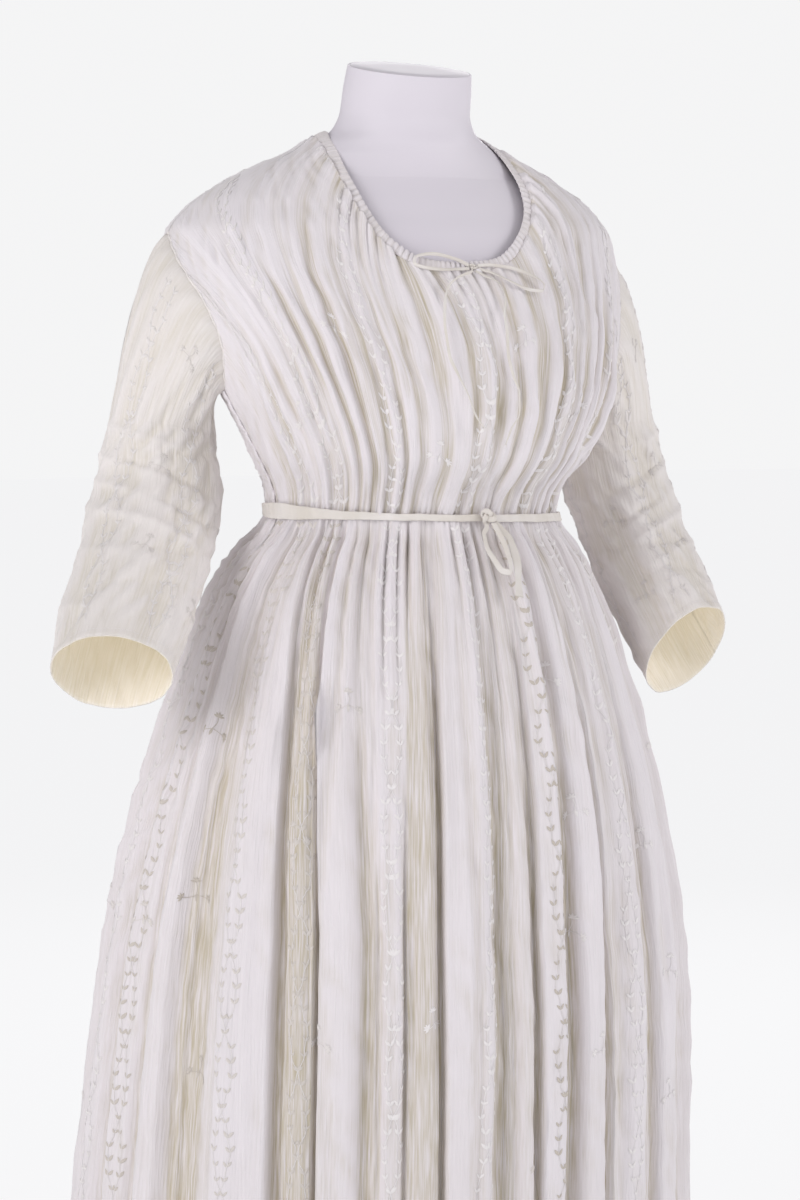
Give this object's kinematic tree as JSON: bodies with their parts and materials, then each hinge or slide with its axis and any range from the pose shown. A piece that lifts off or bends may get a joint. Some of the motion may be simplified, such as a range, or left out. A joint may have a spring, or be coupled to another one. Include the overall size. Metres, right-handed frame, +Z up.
{
  "type": "regency gown on dress form",
  "caption": "White muslin chemise gown with gathered drawstring neck, wide sleeves and high tied waist, worn by a limbless dress form on a round stand.",
  "frame": {"origin": "middle of the stand base's underside, on the floor", "axes": "+Z up; the gown's front faces -Y; the wearer's right is -X and left is +X"},
  "size_m": [0.7395, 0.5917, 1.4064],
  "materials": {
    "white_muslin": "fine crinkled cotton muslin, matt, with white embroidery",
    "white_tape": "narrow woven cotton tape and cord, matt",
    "form_cover": "smooth matt torso",
    "steel_stand": "satin"
  },
  "bodies": {
    "root": {"bodice_front": "white_muslin", "bodice_back": "white_muslin", "skirt_front": "white_muslin", "skirt_back": "white_muslin", "sleeve_right": "white_muslin", "sleeve_left": "white_muslin", "neck_casing": "white_muslin", "waist_tape": "white_tape", "neck_knot": "white_tape", "waist_knot": "white_tape", "neck_loop_right": "white_tape", "neck_loop_left": "white_tape", "neck_tail_right": "white_tape", "neck_tail_left": "white_tape", "waist_loop": "white_tape", "waist_tail": "white_tape", "dress_form": "form_cover", "stand_base": "steel_stand", "stand_pole": "steel_stand"}
  },
  "joints": []
}
